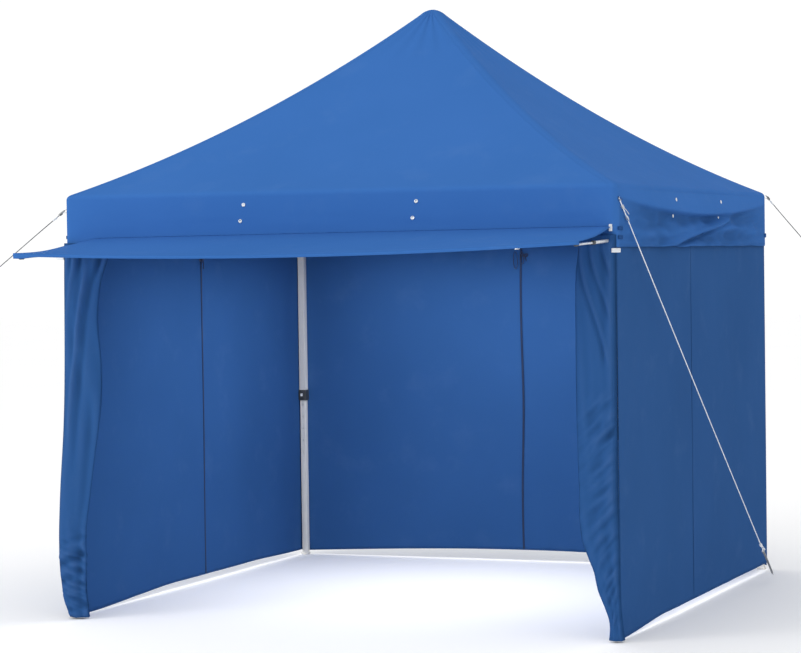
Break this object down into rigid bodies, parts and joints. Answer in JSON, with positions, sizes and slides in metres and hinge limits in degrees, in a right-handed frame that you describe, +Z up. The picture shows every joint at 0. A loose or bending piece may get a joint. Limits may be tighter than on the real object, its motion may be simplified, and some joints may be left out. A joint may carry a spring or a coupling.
{
  "type": "pop up canopy",
  "caption": "Pop-up shelter: blue peaked roof with valance and front awning, three side walls, tied-back front curtains and guy ropes on a folding scissor frame.",
  "frame": {"origin": "on the ground, under the middle of the box that the shelter fills with its awning", "axes": "+Z up, +X to the right when facing the open front, +Y from the open front to the back wall"},
  "size_m": [3.5823, 3.5848, 3.228],
  "materials": {
    "roof_fabric": "coated woven polyester, satin",
    "wall_fabric": "thin woven polyester, satin",
    "guy_rope": "twisted polyester rope",
    "frame_tube": "silver powder coat",
    "joint_plastic": "moulded nylon",
    "button_plastic": "moulded",
    "peg_steel": "galvanised"
  },
  "bodies": {
    "roof_hub": {"centre_hub": "joint_plastic", "canopy_top": "roof_fabric", "left_wall": "wall_fabric", "back_wall": "wall_fabric", "right_wall": "wall_fabric", "front_left_curtain": "wall_fabric", "front_right_curtain": "wall_fabric", "front_right_guy_rope": "guy_rope", "front_left_guy_rope": "guy_rope", "back_right_guy_rope": "guy_rope", "ground_peg": "peg_steel"},
    "peak_mast": {"peak_mast": "frame_tube"},
    "front_left_inner_rafter": {"front_left_inner_rafter": "frame_tube"},
    "front_left_outer_rafter": {"front_left_outer_rafter": "frame_tube"},
    "front_left_upper_leg": {"front_left_upper_leg": "frame_tube"},
    "front_left_lower_leg": {"front_left_lower_leg": "frame_tube"},
    "front_left_leg_button": {"front_left_leg_button": "button_plastic"},
    "front_left_slider": {"front_left_slider": "joint_plastic"},
    "front_right_inner_rafter": {"front_right_inner_rafter": "frame_tube"},
    "front_right_outer_rafter": {"front_right_outer_rafter": "frame_tube"},
    "front_right_upper_leg": {"front_right_upper_leg": "frame_tube"},
    "front_right_lower_leg": {"front_right_lower_leg": "frame_tube"},
    "front_right_leg_button": {"front_right_leg_button": "button_plastic"},
    "front_right_slider": {"front_right_slider": "joint_plastic"},
    "back_right_inner_rafter": {"back_right_inner_rafter": "frame_tube"},
    "back_right_outer_rafter": {"back_right_outer_rafter": "frame_tube"},
    "back_right_upper_leg": {"back_right_upper_leg": "frame_tube"},
    "back_right_lower_leg": {"back_right_lower_leg": "frame_tube"},
    "back_right_leg_button": {"back_right_leg_button": "button_plastic"},
    "back_right_slider": {"back_right_slider": "joint_plastic"},
    "back_left_inner_rafter": {"back_left_inner_rafter": "frame_tube"},
    "back_left_outer_rafter": {"back_left_outer_rafter": "frame_tube"},
    "back_left_upper_leg": {"back_left_upper_leg": "frame_tube"},
    "back_left_lower_leg": {"back_left_lower_leg": "frame_tube"},
    "back_left_leg_button": {"back_left_leg_button": "button_plastic"},
    "back_left_slider": {"back_left_slider": "joint_plastic"},
    "front_scissor_1_falling": {"front_scissor_1_falling": "frame_tube"},
    "front_scissor_1_rising": {"front_scissor_1_rising": "frame_tube"},
    "front_scissor_2_falling": {"front_scissor_2_falling": "frame_tube"},
    "front_scissor_2_rising": {"front_scissor_2_rising": "frame_tube"},
    "front_scissor_3_falling": {"front_scissor_3_falling": "frame_tube"},
    "front_scissor_3_rising": {"front_scissor_3_rising": "frame_tube"},
    "right_scissor_1_falling": {"right_scissor_1_falling": "frame_tube"},
    "right_scissor_1_rising": {"right_scissor_1_rising": "frame_tube"},
    "right_scissor_2_falling": {"right_scissor_2_falling": "frame_tube"},
    "right_scissor_2_rising": {"right_scissor_2_rising": "frame_tube"},
    "right_scissor_3_falling": {"right_scissor_3_falling": "frame_tube"},
    "right_scissor_3_rising": {"right_scissor_3_rising": "frame_tube"},
    "back_scissor_1_falling": {"back_scissor_1_falling": "frame_tube"},
    "back_scissor_1_rising": {"back_scissor_1_rising": "frame_tube"},
    "back_scissor_2_falling": {"back_scissor_2_falling": "frame_tube"},
    "back_scissor_2_rising": {"back_scissor_2_rising": "frame_tube"},
    "back_scissor_3_falling": {"back_scissor_3_falling": "frame_tube"},
    "back_scissor_3_rising": {"back_scissor_3_rising": "frame_tube"},
    "left_scissor_1_falling": {"left_scissor_1_falling": "frame_tube"},
    "left_scissor_1_rising": {"left_scissor_1_rising": "frame_tube"},
    "left_scissor_2_falling": {"left_scissor_2_falling": "frame_tube"},
    "left_scissor_2_rising": {"left_scissor_2_rising": "frame_tube"},
    "left_scissor_3_falling": {"left_scissor_3_falling": "frame_tube"},
    "left_scissor_3_rising": {"left_scissor_3_rising": "frame_tube"}
  },
  "joints": [
    {"name": "frame_fold", "type": "hinge", "parent": "roof_hub", "child": "front_left_inner_rafter", "pos_m": [-0.02465, 0.26536, 2.112], "axis": [0.7071, -0.7071, 0], "range_deg": [0, 76.4], "deforming": ["canopy_top", "left_wall", "back_wall", "right_wall", "front_left_curtain", "front_right_curtain"]},
    {"name": "front_left_rafter_elbow", "type": "hinge", "parent": "front_left_inner_rafter", "child": "front_left_outer_rafter", "pos_m": [-0.72564, -0.43565, 1.90517], "axis": [0.7071, -0.7071, 0], "range_deg": [-152.8, 0]},
    {"name": "front_left_rafter_bracket_hinge", "type": "hinge", "parent": "front_left_outer_rafter", "child": "front_left_upper_leg", "pos_m": [-1.42664, -1.13664, 2.112], "axis": [0.7071, -0.7071, 0], "range_deg": [0, 76.4]},
    {"name": "front_left_leg_slide", "type": "slide", "parent": "front_left_upper_leg", "child": "front_left_lower_leg", "axis": [0, 0, 1], "range_m": [0, 0.88]},
    {"name": "front_left_button_press", "type": "slide", "parent": "front_left_upper_leg", "child": "front_left_leg_button", "axis": [-1, 0, 0], "range_m": [0, 0.0035], "stiffness_N_per_m": 500},
    {"name": "front_right_hub_hinge", "type": "hinge", "parent": "roof_hub", "child": "front_right_inner_rafter", "pos_m": [0.02465, 0.26536, 2.112], "axis": [0.7071, 0.7071, 0], "range_deg": [0, 76.4]},
    {"name": "front_right_rafter_elbow", "type": "hinge", "parent": "front_right_inner_rafter", "child": "front_right_outer_rafter", "pos_m": [0.72564, -0.43565, 1.90517], "axis": [0.7071, 0.7071, 0], "range_deg": [-152.8, 0]},
    {"name": "front_right_rafter_bracket_hinge", "type": "hinge", "parent": "front_right_outer_rafter", "child": "front_right_upper_leg", "pos_m": [1.42664, -1.13664, 2.112], "axis": [0.7071, 0.7071, 0], "range_deg": [0, 76.4]},
    {"name": "front_right_leg_slide", "type": "slide", "parent": "front_right_upper_leg", "child": "front_right_lower_leg", "axis": [0, 0, 1], "range_m": [0, 0.88]},
    {"name": "front_right_button_press", "type": "slide", "parent": "front_right_upper_leg", "child": "front_right_leg_button", "axis": [0, -1, 0], "range_m": [0, 0.0035], "stiffness_N_per_m": 500},
    {"name": "back_right_hub_hinge", "type": "hinge", "parent": "roof_hub", "child": "back_right_inner_rafter", "pos_m": [0.02465, 0.31465, 2.112], "axis": [-0.7071, 0.7071, 0], "range_deg": [0, 76.4]},
    {"name": "back_right_rafter_elbow", "type": "hinge", "parent": "back_right_inner_rafter", "child": "back_right_outer_rafter", "pos_m": [0.72564, 1.01564, 1.90517], "axis": [-0.7071, 0.7071, 0], "range_deg": [-152.8, 0]},
    {"name": "back_right_rafter_bracket_hinge", "type": "hinge", "parent": "back_right_outer_rafter", "child": "back_right_upper_leg", "pos_m": [1.42664, 1.71664, 2.112], "axis": [-0.7071, 0.7071, 0], "range_deg": [0, 76.4]},
    {"name": "back_right_leg_slide", "type": "slide", "parent": "back_right_upper_leg", "child": "back_right_lower_leg", "axis": [0, 0, 1], "range_m": [0, 0.88]},
    {"name": "back_right_button_press", "type": "slide", "parent": "back_right_upper_leg", "child": "back_right_leg_button", "axis": [1, 0, 0], "range_m": [0, 0.0035], "stiffness_N_per_m": 500},
    {"name": "back_left_hub_hinge", "type": "hinge", "parent": "roof_hub", "child": "back_left_inner_rafter", "pos_m": [-0.02465, 0.31465, 2.112], "axis": [-0.7071, -0.7071, 0], "range_deg": [0, 76.4]},
    {"name": "back_left_rafter_elbow", "type": "hinge", "parent": "back_left_inner_rafter", "child": "back_left_outer_rafter", "pos_m": [-0.72564, 1.01564, 1.90517], "axis": [-0.7071, -0.7071, 0], "range_deg": [-152.8, 0]},
    {"name": "back_left_rafter_bracket_hinge", "type": "hinge", "parent": "back_left_outer_rafter", "child": "back_left_upper_leg", "pos_m": [-1.42664, 1.71664, 2.112], "axis": [-0.7071, -0.7071, 0], "range_deg": [0, 76.4]},
    {"name": "back_left_leg_slide", "type": "slide", "parent": "back_left_upper_leg", "child": "back_left_lower_leg", "axis": [0, 0, 1], "range_m": [0, 0.88]},
    {"name": "back_left_button_press", "type": "slide", "parent": "back_left_upper_leg", "child": "back_left_leg_button", "axis": [0, 1, 0], "range_m": [0, 0.0035], "stiffness_N_per_m": 500},
    {"name": "front_front_left_bracket_pin", "type": "hinge", "parent": "front_left_upper_leg", "child": "front_scissor_1_falling", "pos_m": [-1.402, -1.172, 2.112], "axis": [0, 1, 0], "range_deg": [0, 76.4]},
    {"name": "front_scissor_1_pin", "type": "hinge", "parent": "front_scissor_1_falling", "child": "front_scissor_1_rising", "pos_m": [-0.93467, -1.172, 2.0145], "axis": [0, 1, 0], "range_deg": [-152.8, 0]},
    {"name": "front_front_left_slider_pin", "type": "hinge", "parent": "front_scissor_1_rising", "child": "front_left_slider", "pos_m": [-1.402, -1.172, 1.917], "axis": [0, 1, 0], "range_deg": [0, 76.4]},
    {"name": "front_scissor_1_2_lower_pin", "type": "hinge", "parent": "front_scissor_1_falling", "child": "front_scissor_2_rising", "pos_m": [-0.46733, -1.172, 1.917], "axis": [0, 1, 0], "range_deg": [-152.8, 0]},
    {"name": "front_scissor_1_2_upper_pin", "type": "hinge", "parent": "front_scissor_1_rising", "child": "front_scissor_2_falling", "pos_m": [-0.46733, -1.172, 2.112], "axis": [0, 1, 0], "range_deg": [0, 152.8]},
    {"name": "front_front_right_bracket_pin", "type": "hinge", "parent": "front_right_upper_leg", "child": "front_scissor_3_rising", "pos_m": [1.402, -1.172, 2.112], "axis": [0, 1, 0], "range_deg": [-76.4, 0]},
    {"name": "right_front_right_bracket_pin", "type": "hinge", "parent": "front_right_upper_leg", "child": "right_scissor_1_falling", "pos_m": [1.462, -1.112, 2.112], "axis": [-1, 0, 0], "range_deg": [0, 76.4]},
    {"name": "right_scissor_1_pin", "type": "hinge", "parent": "right_scissor_1_falling", "child": "right_scissor_1_rising", "pos_m": [1.462, -0.64467, 2.0145], "axis": [-1, 0, 0], "range_deg": [-152.8, 0]},
    {"name": "right_front_right_slider_pin", "type": "hinge", "parent": "right_scissor_1_rising", "child": "front_right_slider", "pos_m": [1.462, -1.112, 1.917], "axis": [-1, 0, 0], "range_deg": [0, 76.4]},
    {"name": "right_scissor_1_2_lower_pin", "type": "hinge", "parent": "right_scissor_1_falling", "child": "right_scissor_2_rising", "pos_m": [1.462, -0.17733, 1.917], "axis": [-1, 0, 0], "range_deg": [-152.8, 0]},
    {"name": "right_scissor_1_2_upper_pin", "type": "hinge", "parent": "right_scissor_1_rising", "child": "right_scissor_2_falling", "pos_m": [1.462, -0.17733, 2.112], "axis": [-1, 0, 0], "range_deg": [0, 152.8]},
    {"name": "right_back_right_bracket_pin", "type": "hinge", "parent": "back_right_upper_leg", "child": "right_scissor_3_rising", "pos_m": [1.462, 1.692, 2.112], "axis": [-1, 0, 0], "range_deg": [-76.4, 0]},
    {"name": "back_back_right_bracket_pin", "type": "hinge", "parent": "back_right_upper_leg", "child": "back_scissor_1_falling", "pos_m": [1.402, 1.752, 2.112], "axis": [0, -1, 0], "range_deg": [0, 76.4]},
    {"name": "back_scissor_1_pin", "type": "hinge", "parent": "back_scissor_1_falling", "child": "back_scissor_1_rising", "pos_m": [0.93467, 1.752, 2.0145], "axis": [0, -1, 0], "range_deg": [-152.8, 0]},
    {"name": "back_back_right_slider_pin", "type": "hinge", "parent": "back_scissor_1_rising", "child": "back_right_slider", "pos_m": [1.402, 1.752, 1.917], "axis": [0, -1, 0], "range_deg": [0, 76.4]},
    {"name": "back_scissor_1_2_lower_pin", "type": "hinge", "parent": "back_scissor_1_falling", "child": "back_scissor_2_rising", "pos_m": [0.46733, 1.752, 1.917], "axis": [0, -1, 0], "range_deg": [-152.8, 0]},
    {"name": "back_scissor_1_2_upper_pin", "type": "hinge", "parent": "back_scissor_1_rising", "child": "back_scissor_2_falling", "pos_m": [0.46733, 1.752, 2.112], "axis": [0, -1, 0], "range_deg": [0, 152.8]},
    {"name": "back_back_left_bracket_pin", "type": "hinge", "parent": "back_left_upper_leg", "child": "back_scissor_3_rising", "pos_m": [-1.402, 1.752, 2.112], "axis": [0, -1, 0], "range_deg": [-76.4, 0]},
    {"name": "left_back_left_bracket_pin", "type": "hinge", "parent": "back_left_upper_leg", "child": "left_scissor_1_falling", "pos_m": [-1.462, 1.692, 2.112], "axis": [1, 0, 0], "range_deg": [0, 76.4]},
    {"name": "left_scissor_1_pin", "type": "hinge", "parent": "left_scissor_1_falling", "child": "left_scissor_1_rising", "pos_m": [-1.462, 1.22467, 2.0145], "axis": [1, 0, 0], "range_deg": [-152.8, 0]},
    {"name": "left_back_left_slider_pin", "type": "hinge", "parent": "left_scissor_1_rising", "child": "back_left_slider", "pos_m": [-1.462, 1.692, 1.917], "axis": [1, 0, 0], "range_deg": [0, 76.4]},
    {"name": "left_scissor_1_2_lower_pin", "type": "hinge", "parent": "left_scissor_1_falling", "child": "left_scissor_2_rising", "pos_m": [-1.462, 0.75733, 1.917], "axis": [1, 0, 0], "range_deg": [-152.8, 0]},
    {"name": "left_scissor_1_2_upper_pin", "type": "hinge", "parent": "left_scissor_1_rising", "child": "left_scissor_2_falling", "pos_m": [-1.462, 0.75733, 2.112], "axis": [1, 0, 0], "range_deg": [0, 152.8]},
    {"name": "left_front_left_bracket_pin", "type": "hinge", "parent": "front_left_upper_leg", "child": "left_scissor_3_rising", "pos_m": [-1.462, -1.112, 2.112], "axis": [1, 0, 0], "range_deg": [-76.4, 0]},
    {"name": "front_front_right_slider_pin", "type": "hinge", "parent": "front_right_slider", "child": "front_scissor_3_falling", "pos_m": [1.402, -1.172, 1.917], "axis": [0, 1, 0], "range_deg": [0, 76.4]},
    {"name": "right_back_right_slider_pin", "type": "hinge", "parent": "back_right_slider", "child": "right_scissor_3_falling", "pos_m": [1.462, 1.692, 1.917], "axis": [-1, 0, 0], "range_deg": [0, 76.4]},
    {"name": "back_back_left_slider_pin", "type": "hinge", "parent": "back_left_slider", "child": "back_scissor_3_falling", "pos_m": [-1.402, 1.752, 1.917], "axis": [0, -1, 0], "range_deg": [0, 76.4]},
    {"name": "left_front_left_slider_pin", "type": "hinge", "parent": "front_left_slider", "child": "left_scissor_3_falling", "pos_m": [-1.462, -1.112, 1.917], "axis": [1, 0, 0], "range_deg": [0, 76.4]},
    {"name": "mast_slide", "type": "slide", "parent": "roof_hub", "child": "peak_mast", "axis": [0, 0, -1], "range_m": [0, 0.9]}
  ],
  "couplings": [
    {"joint": "front_left_rafter_elbow", "follows": "frame_fold", "ratio": -2},
    {"joint": "front_left_rafter_bracket_hinge", "follows": "frame_fold", "ratio": 1},
    {"joint": "front_right_hub_hinge", "follows": "frame_fold", "ratio": 1},
    {"joint": "front_right_rafter_elbow", "follows": "frame_fold", "ratio": -2},
    {"joint": "front_right_rafter_bracket_hinge", "follows": "frame_fold", "ratio": 1},
    {"joint": "back_right_hub_hinge", "follows": "frame_fold", "ratio": 1},
    {"joint": "back_right_rafter_elbow", "follows": "frame_fold", "ratio": -2},
    {"joint": "back_right_rafter_bracket_hinge", "follows": "frame_fold", "ratio": 1},
    {"joint": "back_left_hub_hinge", "follows": "frame_fold", "ratio": 1},
    {"joint": "back_left_rafter_elbow", "follows": "frame_fold", "ratio": -2},
    {"joint": "back_left_rafter_bracket_hinge", "follows": "frame_fold", "ratio": 1},
    {"joint": "front_front_left_bracket_pin", "follows": "frame_fold", "ratio": 1},
    {"joint": "front_scissor_1_pin", "follows": "frame_fold", "ratio": -2},
    {"joint": "front_front_left_slider_pin", "follows": "frame_fold", "ratio": 1},
    {"joint": "front_scissor_1_2_lower_pin", "follows": "frame_fold", "ratio": -2},
    {"joint": "front_scissor_1_2_upper_pin", "follows": "frame_fold", "ratio": 2},
    {"joint": "front_front_right_bracket_pin", "follows": "frame_fold", "ratio": -1},
    {"joint": "right_front_right_bracket_pin", "follows": "frame_fold", "ratio": 1},
    {"joint": "right_scissor_1_pin", "follows": "frame_fold", "ratio": -2},
    {"joint": "right_front_right_slider_pin", "follows": "frame_fold", "ratio": 1},
    {"joint": "right_scissor_1_2_lower_pin", "follows": "frame_fold", "ratio": -2},
    {"joint": "right_scissor_1_2_upper_pin", "follows": "frame_fold", "ratio": 2},
    {"joint": "right_back_right_bracket_pin", "follows": "frame_fold", "ratio": -1},
    {"joint": "back_back_right_bracket_pin", "follows": "frame_fold", "ratio": 1},
    {"joint": "back_scissor_1_pin", "follows": "frame_fold", "ratio": -2},
    {"joint": "back_back_right_slider_pin", "follows": "frame_fold", "ratio": 1},
    {"joint": "back_scissor_1_2_lower_pin", "follows": "frame_fold", "ratio": -2},
    {"joint": "back_scissor_1_2_upper_pin", "follows": "frame_fold", "ratio": 2},
    {"joint": "back_back_left_bracket_pin", "follows": "frame_fold", "ratio": -1},
    {"joint": "left_back_left_bracket_pin", "follows": "frame_fold", "ratio": 1},
    {"joint": "left_scissor_1_pin", "follows": "frame_fold", "ratio": -2},
    {"joint": "left_back_left_slider_pin", "follows": "frame_fold", "ratio": 1},
    {"joint": "left_scissor_1_2_lower_pin", "follows": "frame_fold", "ratio": -2},
    {"joint": "left_scissor_1_2_upper_pin", "follows": "frame_fold", "ratio": 2},
    {"joint": "left_front_left_bracket_pin", "follows": "frame_fold", "ratio": -1},
    {"joint": "front_front_right_slider_pin", "follows": "frame_fold", "ratio": 1},
    {"joint": "right_back_right_slider_pin", "follows": "frame_fold", "ratio": 1},
    {"joint": "back_back_left_slider_pin", "follows": "frame_fold", "ratio": 1},
    {"joint": "left_front_left_slider_pin", "follows": "frame_fold", "ratio": 1}
  ]
}
